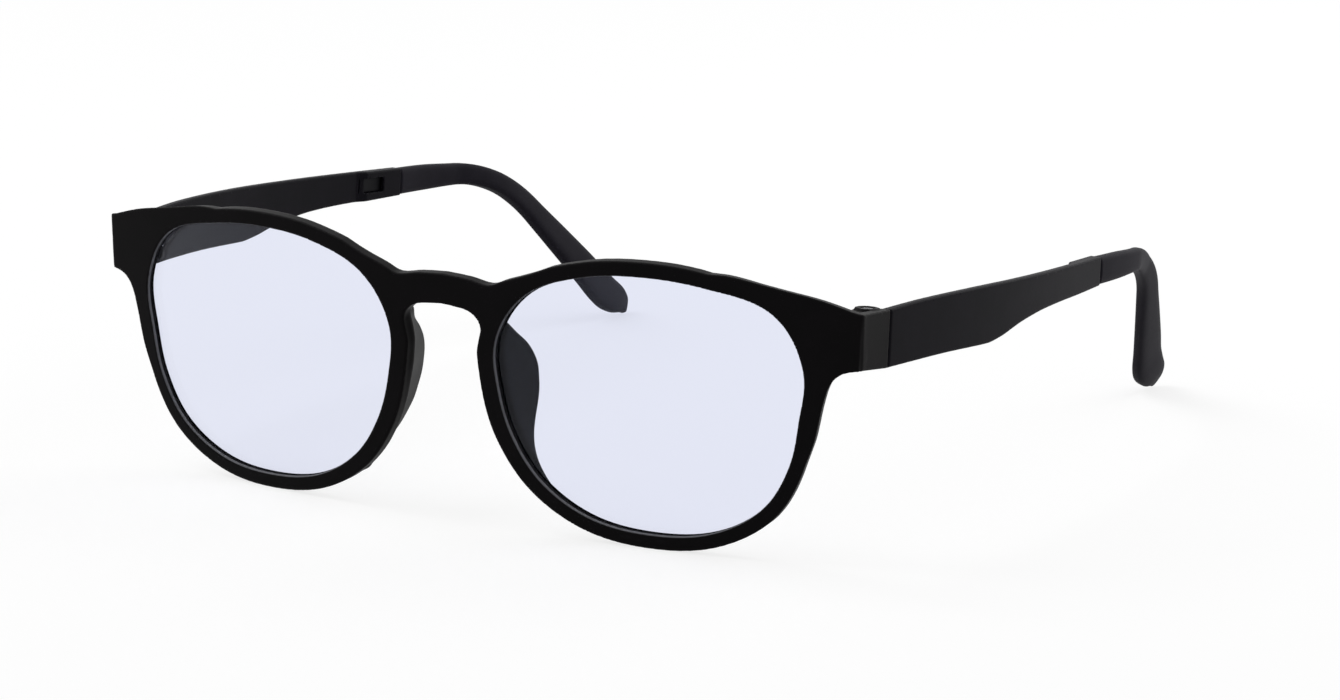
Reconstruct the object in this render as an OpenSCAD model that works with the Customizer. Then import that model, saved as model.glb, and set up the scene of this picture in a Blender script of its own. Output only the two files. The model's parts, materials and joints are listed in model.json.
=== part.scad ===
// Full-rim spectacle frame that carries a magnetic clip: one moulded front, two lenses,
// and two folding temples with bent tips. All lengths are in millimetres.
// The front is drawn upright in its own frame: x to the wearer's left, y back, z up, with the
// origin on the mid-plane at lens-centre height, where the curved face is furthest forward.
// Each temple is drawn in the frame of its hinge pin, whose z runs along the pin.
// Left pieces are drawn first and the right ones are their mirror images.

/* [Front] */
// Width of a lens opening
lens_w = 51.7; // [49:0.1:52.5]
// Height of a lens opening
lens_h = 41.3; // [38:0.1:44]
// Gap between the two lens openings
bridge_gap = 19.4; // [18:0.1:21]
// Width of an end piece beside its lens opening
side_w = 8.6; // [8:0.1:10]
// Radius of the front's curved face
face_r = 284; // [240:1:400]
// Thickness of the front from face to back
front_t = 2.5; // [2.4:0.1:3]
// Width of the rim at the side of the lens, seen from the front
rim_w = 2.35; // [2:0.05:2.8]
// Extra rim width beside the nose
rim_w_nose = 0.75; // [0:0.05:1]
// Height of the bridge
bridge_h = 4.8; // [3.5:0.1:6]
// How far the bridge's middle lies below the top of the lens openings
bridge_drop = 5.45; // [4:0.05:7]
// Depth of the flat on the bridge's front, which a clip's bridge meets
flat_cut = 0.05; // [0.03:0.01:0.1]

/* [End pieces] */
// How far the end piece's top corner lies below the top of the lens openings
lug_drop = 3.25; // [2:0.05:5]
// Height of the end piece where it meets the face
lug_h = 9; // [8:0.1:10]
// How far the end piece's top corner stands out beyond its lower one
lug_flare = 0.45; // [0:0.05:0.8]
// Wall of the end piece's side
lug_wall = 1.8; // [1.5:0.1:2.2]
// How far back the hinge pin lies behind the face's foremost point
pin_back = 16.75; // [15:0.05:18]
// How far inside the outer face the hinge pin lies
pin_inset = 3.1; // [2.9:0.05:3.4]
// How far the hinge pin's middle lies below the end piece's top corner
pin_drop = 5.67; // [5:0.01:6.2]
// Downward tilt of the temples against the front
temple_tilt = 7.1; // [4:0.1:10]

/* [Hinge] */
// Height of the end piece at the temple's seam
seam_h = 8.6; // [7.8:0.1:9.4]
// Height of the hinge's barrel, whose top is level with the end piece
barrel_h = 7.2; // [6.8:0.1:8]
// Radius of the knuckles
knuckle_r = 1.95; // [1.8:0.05:2]
// Height of the temple's knuckle
mid_knuckle_h = 2.7; // [2.2:0.1:3.2]
// Thickness of a hinge washer
washer_t = 0.2; // [0.15:0.05:0.3]
// Radius of a hinge washer
washer_r = 1.8; // [1.5:0.05:1.9]
// Gap on each side of a washer
washer_gap = 0.05; // [0.03:0.01:0.08]
// Radius of the screw's shank
screw_r = 0.7; // [0.6:0.05:0.75]
// Radius of the screw's head
screw_head_r = 1; // [0.95:0.05:1.1]
// Height of the screw's head
screw_head_h = 0.7; // [0.5:0.05:0.9]
// Width of the screwdriver slot
slot_w = 0.35; // [0.25:0.05:0.45]
// Depth of the screwdriver slot
slot_deep = 0.3; // [0.2:0.05:0.4]
// Wall of the bush and of the threaded insert
sleeve_wall = 0.35; // [0.3:0.05:0.4]
// Running gap between the screw and what turns on it
running_gap = 0.05; // [0.03:0.01:0.08]

/* [Lenses and magnets] */
// Thickness of a lens
lens_t = 1.2; // [1:0.05:1.3]
// How far the lens's front lies behind the face
lens_deep = 1.1; // [0.8:0.05:1.1]
// Depth of the groove that holds the lens
groove_deep = 0.75; // [0.5:0.05:0.9]
// Width of the groove
groove_w = 0.7; // [0.6:0.05:0.8]
// Gap all round a lens
lens_gap = 0.05; // [0.03:0.01:0.08]
// Radius of a clip magnet
magnet_r = 1.5; // [1.2:0.1:1.6]
// Thickness of a clip magnet
magnet_t = 1; // [0.8:0.1:1.1]
// How far inside the outer face a magnet lies
magnet_inset = 7.8; // [7.5:0.1:8]
// How far below the end piece's top corner a magnet lies
magnet_drop = 3.6; // [3.3:0.1:4.5]
// Radius of the flat on the face where the clip's magnet sits
seat_r = 2.4; // [1.8:0.1:2.6]
// Depth of that flat at its middle
seat_deep = 0.02; // [0.01:0.01:0.05]

/* [Nose pads] */
// How far the nose pad reaches back behind the face's foremost point
pad_reach = 10.9; // [9:0.1:13]
// Thickness of the pad's fin at its root
pad_t = 1.7; // [1.4:0.1:2.2]
// Thickness of the fin at its rear edge
pad_edge_t = 1.3; // [1:0.1:1.6]

/* [Temples] */
// Length of a temple from the hinge pin to the tip's seam
temple_l = 74.6; // [68:0.2:80]
// Gap in the seam between end piece and temple
seam_gap = 0.15; // [0.1:0.05:0.25]
// How far behind the hinge pin that seam lies
seam_back = 2; // [2:0.05:2.2]
// Height of the temple at the hinge
temple_h = 8.25; // [7.5:0.05:8.6]
// Height of the temple at the tip's seam
temple_end_h = 4.8; // [4.4:0.05:5.2]
// Thickness of the temple
temple_t = 1.5; // [1.3:0.1:1.7]
// How far the temple bows out at its widest
temple_bow = 2.3; // [0:0.1:2.5]
// Length of the thicker block at the temple's end
block_l = 11.4; // [11.2:0.1:14]
// Thickness of the block at the tip's seam
block_t = 2.3; // [2.1:0.1:2.7]
// How far the temple's end lies inside the end piece's outer face
end_inset = 0.05; // [0:0.05:1]

/* [Tips] */
// Straight length of the tip before its bend
tip_straight = 17; // [14:0.1:20]
// Radius of the bend
bend_r = 24.6; // [20:0.2:30]
// Angle of the bend
bend_a = 46.3; // [38:0.1:50]
// Length of the tip after the bend
tip_leg = 29.2; // [25:0.1:31]
// Height of the tip's paddle
paddle_h = 7; // [6.4:0.1:8]
// Thickness of the tip at its paddle
paddle_t = 2.6; // [2.4:0.1:3.2]
// Inward lean of the paddle: sideways shift for each millimetre of drop
paddle_lean = 0.38; // [0.3:0.005:0.45]
// How far the tip has moved inwards by the middle of its bend
tip_in = 4.4; // [3:0.1:4.8]
// Outward curl of the paddle's end
paddle_curl = 0.5; // [0.2:0.1:2]
// Gap in the seam between temple and tip
tip_gap = 0.1; // [0.05:0.05:0.2]
// Height of the steel core
core_h = 2.3; // [1.8:0.1:2.4]
// Thickness of the steel core
core_t = 0.9; // [0.7:0.05:0.95]
// How far the core reaches into the temple
core_tongue = 10.8; // [10.5:0.1:11]
// How far the core stops short of the tip's end
core_short = 16; // [14:0.5:25]
// Clearance round the core
core_gap = 0.05; // [0.03:0.01:0.08]
// Length of the window that shows the core's tongue
window_l = 5.2; // [4.5:0.1:5.7]
// Height of the window
window_h = 2.6; // [2:0.1:3]
// Distance from the window's rear end to the tip's seam
window_back = 4.8; // [4:0.1:5]

/* [Hidden] */
$fn = 64;

left = 1;
right = -1;
black = "#1b1a1d";
tip_black = "#2b2a2e";

// Where the main points of the front lie
eye_x = (bridge_gap + lens_w) / 2;
lug_x = bridge_gap / 2 + lens_w + side_w;
lug_z = lens_h / 2 - lug_drop;
bridge_z = lens_h / 2 - bridge_drop;
pin_x = lug_x - pin_inset;
pin_z = lug_z - pin_drop;
magnet_x = lug_x - magnet_inset;
magnet_z = lug_z - magnet_drop;

// Where the hinge's layers lie along the pin
layer_t = washer_t + 2 * washer_gap;
barrel_top = seam_h / 2;
barrel_low = barrel_top - barrel_h;
mid_top = barrel_top - (barrel_h - mid_knuckle_h) / 2;
mid_low = mid_top - mid_knuckle_h;
outer_knuckle_h = mid_low - layer_t - barrel_low;
bore_r = screw_r + running_gap;
sleeve_r = bore_r + sleeve_wall;
relief_r = knuckle_r + 0.2;
counterbore_r = screw_head_r + 0.15;
counterbore_deep = screw_head_h + 0.2;
upper_washer = mid_top + washer_gap;
lower_washer = mid_low - washer_gap - washer_t;
wall_x = pin_inset - lug_wall;

// Where the temple starts and ends, along the pin's frame
temple_start = seam_back + seam_gap;
temple_end_top = seam_h / 2 + 0.85;
tip_z = temple_end_top - temple_end_h / 2;
// A point of the pin's frame, as y and z in the front's frame
function from_pin(p) = [pin_back + p[0] * cos(temple_tilt) + p[1] * sin(temple_tilt),
    pin_z - p[0] * sin(temple_tilt) + p[1] * cos(temple_tilt)];

// A smooth curve through points: its value a share t of the way from p1 to p2
function between(p0, p1, p2, p3, t) = 0.5 * (2 * p1 + (p2 - p0) * t
    + (2 * p0 - 5 * p1 + 4 * p2 - p3) * t * t + (3 * p1 - p0 - 3 * p2 + p3) * t * t * t);
function curve(points, steps) = let (last = len(points) - 1) [
    for (i = [0:last - 1], j = [0:steps - 1])
        between(points[max(i - 1, 0)], points[i], points[i + 1], points[min(i + 2, last)], j / steps),
    points[last]];
function flip(points) = [for (i = [len(points) - 1:-1:0]) points[i]];
function mirrored(points) = [for (p = flip(points)) [-p[0], p[1]]];
function unit(v) = v / norm(v);
function share(value, from, to) = min(max((value - from) / (to - from), 0), 1);

// How far back the curved face lies at a place on the front
function face_y(x, z) = face_r - sqrt(face_r * face_r - x * x - z * z);

magnet_y = face_y(magnet_x, magnet_z) + front_t - magnet_t - 0.1;
groove_near = lens_deep + (lens_t - groove_w) / 2;

// The lens opening: an ellipse, fuller at its upper corners and flatter at its lower ones.
// The fullness is given all round at equal steps, from the wearer's left and then upwards.
fullness = [0.97, 1.075, 1.135, 1.03, 0.995, 1.03, 1.085, 1.055, 0.975, 0.955, 0.98, 1, 1, 1.025, 1.02, 0.975];
function fullness_at(a) = let (n = len(fullness), s = ((a + 720) % 360) * n / 360, i = floor(s))
    between(fullness[(i + n - 1) % n], fullness[i % n], fullness[(i + 1) % n], fullness[(i + 2) % n], s - i);
function eye_point(a) = [eye_x + fullness_at(a) * cos(a) * lens_w / 2, fullness_at(a) * sin(a) * lens_h / 2];
function eye_normal(a) = let (d = eye_point(a + 1) - eye_point(a - 1)) unit([d[1], -d[0]]);
function eye_at(a, out) = eye_point(a) + out * eye_normal(a);
function eye_outline(out) = [for (a = [0:5:355]) eye_at(a, out)];

// The outer edge of the rim, and the whole outline of one half of the front
function rim_at(a) = eye_at(a, rim_w + rim_w_nose * pow(max(0, -cos(a)), 3));
bridge_top = bridge_z + bridge_h / 2;
bridge_low = bridge_z - bridge_h / 2;
eye_in = bridge_gap / 2;
lug_low = lug_z - lug_h;
lug_top = lug_z - 0.15;
top_edge = concat(
    curve([[0, bridge_top], [eye_in - 5.2, bridge_top - 0.3], [eye_in - 1.2, bridge_top - 0.9],
        [eye_in + 1.8, bridge_top + 0.15], rim_at(131), rim_at(124)], 4),
    [for (a = [117:-7:75]) rim_at(a)],
    curve([rim_at(68), [lug_x - 20, lug_z + 4.5], [lug_x - 12.3, lug_z + 3], [lug_x - 6, lug_z + 1.5],
        [lug_x + lug_flare, lug_top]], 3));
low_edge = concat(
    curve([[lug_x, lug_low], [lug_x - 1.4, lug_low - 0.25], [lug_x - 3, lug_low - 1.1],
        [lug_x - 4.6, lug_low - 3.4], [lug_x - 5.6, lug_low - 6.6], rim_at(-3), rim_at(-10)], 4),
    [for (a = [-16:-7:-184]) rim_at(a)],
    curve([rim_at(-190), [eye_in - 3.2, bridge_low - 6.9], [eye_in - 2.7, bridge_low - 4.4],
        [eye_in - 2.5, bridge_low - 3.2], [eye_in - 3.2, bridge_low - 1.7], [eye_in - 5.2, bridge_low - 0.5],
        [0, bridge_low]], 4));
half_outline = concat(top_edge, low_edge);
front_outline = concat(half_outline, mirrored(half_outline));

// Place a piece that is drawn in the front's frame, so that the whole frame stands on its rims and tips
module standing() {
    rotate([lean, 0, 0])
        translate([0, -face_y(0, bridge_z) - flat_cut, -bridge_z])
            children();
}
module on_side(side) {
    if (side > 0)
        children();
    else
        mirror([1, 0, 0])
            children();
}
// Place a piece that is drawn in the frame of the hinge pin
module at_pin() {
    translate([pin_x, pin_back, pin_z])
        rotate([-temple_tilt, 0, 0])
            children();
}
// An outline in x and z, extruded backwards along y
module upright(depth) {
    rotate([90, 0, 0])
        translate([0, 0, -depth])
            linear_extrude(depth)
                children();
}
// The space between two depths behind the curved face
module face_layer(near, far) {
    intersection() {
        translate([0, face_r, 0])
            difference() {
                sphere(face_r - near, $fn = 360);
                sphere(face_r - far, $fn = 360);
            }
        translate([-2 * lug_x, -1, -lens_h])
            cube([4 * lug_x, 30, 2 * lens_h]);
    }
}

// A closed solid through rings of equal counts of points, each turning anticlockwise about the way they go
module loft(rings) {
    count = len(rings[0]);
    last = len(rings) - 1;
    sides = [for (r = [0:last - 1], i = [0:count - 1]) let (j = (i + 1) % count, a = r * count, b = a + count)
        each [[a + i, b + i, b + j], [a + i, b + j, a + j]]];
    ends = [[for (i = [0:count - 1]) i], [for (i = [count - 1:-1:0]) last * count + i]];
    polyhedron([for (ring = rings) each ring], concat(sides, ends), convexity = 6);
}

// Nose pads: fins that grow from the back of the rim beside the nose and splay away from it.
// Each station has its height, the rim's outer edge, and the fin's rear edge as x and as a share of its reach.
pad_stations = [
    [10, 7.6, 8.6, 0.4], [8, 7, 9.4, 0.61], [6, 6.7, 9.9, 0.78], [4, 6.8, 10.3, 0.89], [2, 7, 10.6, 0.965],
    [0, 7.5, 10.8, 1], [-2, 8.1, 11.1, 1], [-4, 8.7, 11.2, 0.915], [-6, 9.5, 11.5, 0.81], [-8, 10.4, 12, 0.685],
    [-10, 11.5, 12.9, 0.58], [-12, 12.7, 14.1, 0.5], [-14, 14.4, 15.8, 0.45], [-16, 16.3, 17.7, 0.42]];
function pad_ring(s) = let (z = s[0], shift = eye_in - 9.7, x0 = s[1] + shift, x1 = s[2] + shift,
        root = face_y(x0, z) + front_t - 0.3, rear = max(s[3] * pad_reach, root + 1),
        slope = unit([x1 - x0 - pad_t / 2, rear - root]), edge = [x1, rear], half = pad_edge_t / 2,
        across = [slope[1], -slope[0]] * half, round = -0.35 * slope) [
    [x0 + 0.05, root, z],
    [edge[0] - across[0] + round[0], edge[1] - across[1] + round[1], z],
    [edge[0] - 0.5 * across[0], edge[1] - 0.5 * across[1], z],
    [edge[0] + 0.5 * across[0], edge[1] + 0.5 * across[1], z],
    [edge[0] + across[0] + round[0], edge[1] + across[1] + round[1], z],
    [x0 + pad_t + 0.15, root, z]];
module nose_pad() {
    loft([for (s = pad_stations) pad_ring(s)]);
}

// The end piece's side wall, from the face back to the temple's seam
module lug_side() {
    near = face_y(lug_x, lug_z) + 0.6;
    seam_top = from_pin([seam_back, seam_h / 2]);
    seam_low = from_pin([seam_back, -seam_h / 2]);
    inner = lug_x - lug_wall;
    loft([
        [[inner, near, lug_top], [lug_x + lug_flare, near, lug_top], [lug_x, near, lug_low], [inner, near, lug_low]],
        [[inner, each seam_top], [lug_x, each seam_top], [lug_x, each seam_low], [inner, each seam_low]]]);
}
// The knuckles at the top and bottom of the hinge, with the web that joins them to the end piece
module outer_knuckles() {
    web = [[0, knuckle_r], [wall_x + 0.1, knuckle_r], [wall_x + 0.1, -7.3], [wall_x - 3.5, -7.7],
        [-knuckle_r - 0.1, -5], [-knuckle_r, -2.5], [-knuckle_r, 0], [-1, 0]];
    for (low = [mid_top + layer_t, barrel_low])
        translate([0, 0, low]) {
            cylinder(h = outer_knuckle_h, r = knuckle_r);
            linear_extrude(outer_knuckle_h)
                polygon(web);
        }
}
module hinge_bores() {
    translate([0, 0, barrel_low - 1])
        cylinder(h = barrel_h + 2, r = bore_r);
    translate([0, 0, barrel_top - counterbore_deep])
        cylinder(h = counterbore_deep + 1, r = counterbore_r);
    translate([0, 0, barrel_low - 1])
        cylinder(h = outer_knuckle_h + 1, r = sleeve_r);
    translate([0, 0, mid_low - layer_t])
        cylinder(h = mid_knuckle_h + 2 * layer_t, r = relief_r);
}
module magnet_pocket() {
    translate([magnet_x, magnet_y + magnet_t + 4, magnet_z])
        rotate([90, 0, 0])
            cylinder(h = magnet_t + 4.05, r = magnet_r + 0.03);
}
// A shallow flat on the curved face in front of the magnet
module clip_seat() {
    out = unit([magnet_x, face_y(magnet_x, magnet_z) - face_r, magnet_z]);
    translate([0, face_r, 0] + out * (face_r - seat_deep))
        rotate([0, acos(out[2]), atan2(out[1], out[0])])
            cylinder(h = 1, r = seat_r);
}

// Both rims and the bridge in one curved plate, with the grooved openings for the lenses
module rims() {
    difference() {
        intersection() {
            upright(30)
                polygon(front_outline);
            face_layer(0, front_t);
        }
        for (side = [left, right])
            on_side(side) {
                upright(30)
                    polygon(eye_outline(0));
                intersection() {
                    upright(30)
                        polygon(eye_outline(groove_deep));
                    face_layer(groove_near, groove_near + groove_w);
                }
            }
    }
}
module front() {
    color(black)
        difference() {
            standing()
                difference() {
                    union() {
                        rims();
                        for (side = [left, right])
                            on_side(side) {
                                lug_side();
                                at_pin()
                                    outer_knuckles();
                                nose_pad();
                            }
                    }
                    for (side = [left, right])
                        on_side(side) {
                            at_pin()
                                hinge_bores();
                            magnet_pocket();
                            clip_seat();
                        }
                }
            translate([-eye_in, -5, -bridge_h])
                cube([2 * eye_in, 5, 2 * bridge_h]);
        }
}

// A lens: a curved plate with a thinner rim that sits in the groove
module lens(side) {
    color([0.9, 0.93, 0.97, 0.4])
        standing()
            on_side(side) {
                intersection() {
                    upright(30)
                        polygon(eye_outline(-lens_gap));
                    face_layer(lens_deep, lens_deep + lens_t);
                }
                intersection() {
                    upright(30)
                        polygon(eye_outline(groove_deep - lens_gap));
                    face_layer(groove_near + lens_gap, groove_near + groove_w - lens_gap);
                }
            }
}
module magnet(side) {
    color("silver")
        standing()
            on_side(side)
                translate([magnet_x, magnet_y + magnet_t, magnet_z])
                    rotate([90, 0, 0])
                        cylinder(h = magnet_t, r = magnet_r);
}

// Hinge hardware, drawn along the pin
module in_hinge(side) {
    standing()
        on_side(side)
            at_pin()
                children();
}
module ring(low, h, outer, inner) {
    translate([0, 0, low])
        difference() {
            cylinder(h = h, r = outer);
            translate([0, 0, -1])
                cylinder(h = h + 2, r = inner);
        }
}
module hinge_screw(side) {
    color("dimgray")
        in_hinge(side) {
            seat = barrel_top - counterbore_deep;
            translate([0, 0, barrel_low + 0.1])
                cylinder(h = seat - barrel_low, r = screw_r);
            translate([0, 0, seat])
                difference() {
                    cylinder(h = screw_head_h, r = screw_head_r);
                    translate([-slot_w / 2, -2 * screw_head_r, screw_head_h - slot_deep])
                        cube([slot_w, 4 * screw_head_r, 1]);
                }
        }
}
module hinge_insert(side) {
    color("goldenrod")
        in_hinge(side)
            ring(barrel_low + 0.1, outer_knuckle_h - 0.1, sleeve_r - 0.01, screw_r + 0.01);
}
module hinge_bush(side) {
    color("silver")
        in_hinge(side)
            ring(mid_low, mid_knuckle_h, sleeve_r - 0.01, bore_r);
}
module hinge_washer(side, low) {
    color("silver")
        in_hinge(side)
            ring(low, washer_t, washer_r, bore_r);
}

// Temple: a bowed plate with a step in its lower edge and a thicker block at its end
function temple_outer(y) = let (s = share(y, seam_back, temple_l))
    pin_inset + temple_bow * sin(180 * s) - end_inset * s;
function temple_thick(y) = y > temple_l - block_l
    ? temple_t + (block_t - temple_t) * share(y, temple_l - block_l, temple_l - block_l + 2)
    : lug_wall + (temple_t - lug_wall) * share(y, temple_start, temple_start + 6);
function temple_inner(y) = temple_outer(y) - temple_thick(y);
function core_x(y) = temple_outer(y) - block_t / 2;
// The lower edge with its step: shares of the temple's length and of the step's rise
step_edge = [[0, -0.06], [0.12, -0.04], [0.25, 0.01], [0.4, 0], [0.43, 0.02], [0.46, 0.095], [0.49, 0.19],
    [0.53, 0.36], [0.57, 0.51], [0.62, 0.645], [0.68, 0.765], [0.77, 0.86], [0.88, 0.92], [1, 1]];
module temple_plate() {
    low = seam_h / 2 - temple_h;
    rise = temple_end_top - temple_end_h - low;
    top = seam_h / 2;
    side_edge = concat(
        curve([[temple_start, top], [0.15 * temple_l, top + 0.55], [0.35 * temple_l, top + 0.88],
            [0.6 * temple_l, top + 0.95], [temple_l, temple_end_top]], 4),
        flip(curve([for (p = step_edge) [max(p[0] * temple_l, temple_start), low + p[1] * rise]], 2)));
    block = temple_l - block_l;
    stations = concat([temple_start], [for (i = [1:14]) temple_start + (block - temple_start) * i / 14],
        [block + 2, temple_l - block_l / 2, temple_l]);
    intersection() {
        rotate([90, 0, 90])
            translate([0, 0, -10])
                linear_extrude(20)
                    polygon(side_edge);
        translate([0, 0, -seam_h])
            linear_extrude(2 * seam_h)
                polygon(concat([for (y = stations) [temple_outer(y), y]],
                    [for (y = flip(stations)) [temple_inner(y), y]]));
    }
}
module mid_knuckle() {
    reach = 9;
    translate([0, 0, mid_low]) {
        cylinder(h = mid_knuckle_h, r = knuckle_r);
        linear_extrude(mid_knuckle_h)
            polygon([[0, 0], [-knuckle_r, 0], [0.3 - knuckle_r, 1.6], [temple_inner(reach), reach],
                [temple_inner(reach) + 0.6, reach], [wall_x + 0.6, temple_start],
                [wall_x - 0.15, temple_start], [knuckle_r / 2, 1.6]]);
    }
}
// The slot in the block for the core's tongue, and the window in its inner face
module core_socket() {
    slot_x = core_t / 2 + core_gap;
    slot_h = core_h + 2 * core_gap;
    stations = concat(tongue_stations, [temple_l + 1]);
    translate([0, 0, tip_z - slot_h / 2])
        linear_extrude(slot_h)
            polygon(concat([for (y = stations) [core_x(y) + slot_x, y]],
                [for (y = flip(stations)) [core_x(y) - slot_x, y]]));
    window_y = temple_l - window_back - window_l;
    translate([core_x(window_y) - block_t, window_y, tip_z - window_h / 2])
        cube([block_t, window_l, window_h]);
}
module temple(side) {
    color(black)
        in_hinge(side)
            difference() {
                union() {
                    temple_plate();
                    mid_knuckle();
                }
                translate([0, 0, -seam_h])
                    cylinder(h = 2 * seam_h, r = sleeve_r);
                core_socket();
            }
}

// Tip: its spine runs straight on from the temple, bends down and ends in a paddle
bend_l = bend_r * bend_a * PI / 180;
leg_start = tip_straight + bend_l;
tip_l = leg_start + tip_leg;
function spine(s) = let (turn = bend_a * share(s, tip_straight, leg_start),
        leg = max(0, s - leg_start), straight = min(s, tip_straight)) [
    temple_l + tip_gap + straight + bend_r * sin(turn) + leg * cos(turn),
    tip_z - bend_r * (1 - cos(turn)) - leg * sin(turn)];
function spine_height(s) = from_pin(spine(s))[1];
function spine_x(s) = let (middle = tip_straight + bend_l / 2)
    s < middle
    ? core_x(temple_l) - tip_in * (0.3 * pow(share(s, 0, tip_straight), 2)
        + 0.7 * share(s, tip_straight, middle))
    : core_x(temple_l) - tip_in + paddle_lean * (spine_height(s) - spine_height(middle))
        + paddle_curl * pow(share(s, leg_start + 0.6 * tip_leg, tip_l), 2);
function spine_at(s) = let (p = spine(s)) [spine_x(s), p[0], p[1]];
// The tip's size along the spine: place, half height in front and behind, and thickness
end_h = temple_end_h / 2 - 0.05;
tip_sizes = [
    [0, end_h, end_h, block_t],
    [tip_straight / 2, end_h - 0.15, end_h - 0.1, block_t + 0.1],
    [tip_straight, 0.285 * paddle_h, 0.265 * paddle_h, paddle_t - 0.15],
    [tip_straight + bend_l / 2, 0.31 * paddle_h, 0.235 * paddle_h, paddle_t - 0.1],
    [leg_start, 0.37 * paddle_h, 0.285 * paddle_h, paddle_t - 0.15],
    [leg_start + 0.27 * tip_leg, 0.43 * paddle_h, 0.385 * paddle_h, paddle_t - 0.25],
    [leg_start + 0.54 * tip_leg, 0.48 * paddle_h, 0.47 * paddle_h, paddle_t - 0.2],
    [leg_start + 0.68 * tip_leg, 0.52 * paddle_h, 0.48 * paddle_h, paddle_t - 0.1],
    [leg_start + 0.79 * tip_leg, 0.47 * paddle_h, 0.55 * paddle_h, paddle_t],
    [leg_start + 0.89 * tip_leg, 0.285 * paddle_h, 0.65 * paddle_h, 0.88 * paddle_t],
    [leg_start + 0.96 * tip_leg, 0.03 * paddle_h, 0.63 * paddle_h, 0.58 * paddle_t],
    [leg_start + 0.985 * tip_leg, -0.07 * paddle_h, 0.52 * paddle_h, 0.42 * paddle_t],
    [tip_l, -0.19 * paddle_h, 0.36 * paddle_h, 0.24 * paddle_t]];
function spine_way(s) = unit(spine_at(min(s + 0.5, tip_l)) - spine_at(max(s - 0.5, 0)));
function thick_way(s) = let (lean_now = paddle_lean * share(s, tip_straight, leg_start))
    unit([1, lean_now * sin(temple_tilt), -lean_now * cos(temple_tilt)]);
// A ring round the spine: a rectangle with rounded corners, or a sharp one
function spine_ring(s, front, rear, thick, corners) = let (way = spine_way(s),
        up = unit(cross(thick_way(s), way)), out = cross(way, up),
        middle = spine_at(s) + up * (rear - front) / 2)
    [for (c = corners) middle + out * c[0] * thick / 2 + up * c[1] * (rear + front) / 2];
function bulge(v) = sign(v) * pow(abs(v), 0.6);
soft_corners = [for (a = [0:18:342]) [bulge(cos(a)), -bulge(sin(a))]];
sharp_corners = [[1, -1], [-1, -1], [-1, 1], [1, 1]];
tip_rings = [for (r = curve(tip_sizes, 3)) spine_ring(r[0], r[1], r[2], r[3], soft_corners)];

// The core's path: a tongue inside the temple's block, then the tip's own spine
tongue_stations = [for (i = [0:3]) temple_l - core_tongue * (3 - i) / 3];
core_end = tip_l - core_short;
function tongue_ring(y, x, h, t) = [for (c = sharp_corners) [x + c[0] * t / 2, y, tip_z + c[1] * h / 2]];
module core_solid(grow, from_temple) {
    h = core_h + 2 * grow;
    t = core_t + 2 * grow;
    stops = [for (i = [0:16]) max(i * core_end / 16, 0.02) + (i == 16 ? grow : 0)];
    loft(concat(
        from_temple ? [for (y = tongue_stations) tongue_ring(y, core_x(y), h, t)]
            : [tongue_ring(temple_l - 1, core_x(temple_l), h, t)],
        [for (s = stops) spine_ring(s, h / 2, h / 2, t, sharp_corners)]));
}
module tip(side) {
    color(tip_black)
        in_hinge(side)
            difference() {
                loft(tip_rings);
                core_solid(core_gap, false);
            }
}
module tip_core(side) {
    color("silver")
        in_hinge(side)
            core_solid(0, true);
}

// The frame leans until the bottoms of its rims and the lowest points of its tips are level
rim_low_z = min([for (p = low_edge) p[1]]);
rim_low_y = face_y(eye_x, rim_low_z) + front_t;
lean = max([for (ring = tip_rings, p = ring) let (q = from_pin([p[1], p[2]]))
    atan2(rim_low_z - q[1], q[0] - rim_low_y)]);

front();
lens(left);  // lens_left
lens(right);  // lens_right
magnet(left);  // magnet_left
magnet(right);  // magnet_right
hinge_screw(left);  // hinge_screw_left
hinge_screw(right);  // hinge_screw_right
hinge_insert(left);  // hinge_insert_left
hinge_insert(right);  // hinge_insert_right
hinge_bush(left);  // hinge_bush_left
hinge_bush(right);  // hinge_bush_right
hinge_washer(left, upper_washer);  // hinge_washer_upper_left
hinge_washer(right, upper_washer);  // hinge_washer_upper_right
hinge_washer(left, lower_washer);  // hinge_washer_lower_left
hinge_washer(right, lower_washer);  // hinge_washer_lower_right
temple(left);  // temple_left
temple(right);  // temple_right
tip(left);  // tip_left
tip(right);  // tip_right
tip_core(left);  // tip_core_left
tip_core(right);  // tip_core_right
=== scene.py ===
"""A full-rim spectacle frame that carries a magnetic clip.

The moulded pieces are shaped in millimetres, by distance: a function says how far each place lies
from a piece's surface, rounded edges and fillets included, and skin() turns it into a mesh.
The front has its own upright frame, and each temple has the frame of its hinge pin, as in the
part's source. Every finished piece is placed in the row's frame, in metres.
"""
import json
from itertools import product
from math import atan2, cos, pi, radians, sin

import bmesh
import bpy
import numpy as np
from mathutils import Matrix, Vector


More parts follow.
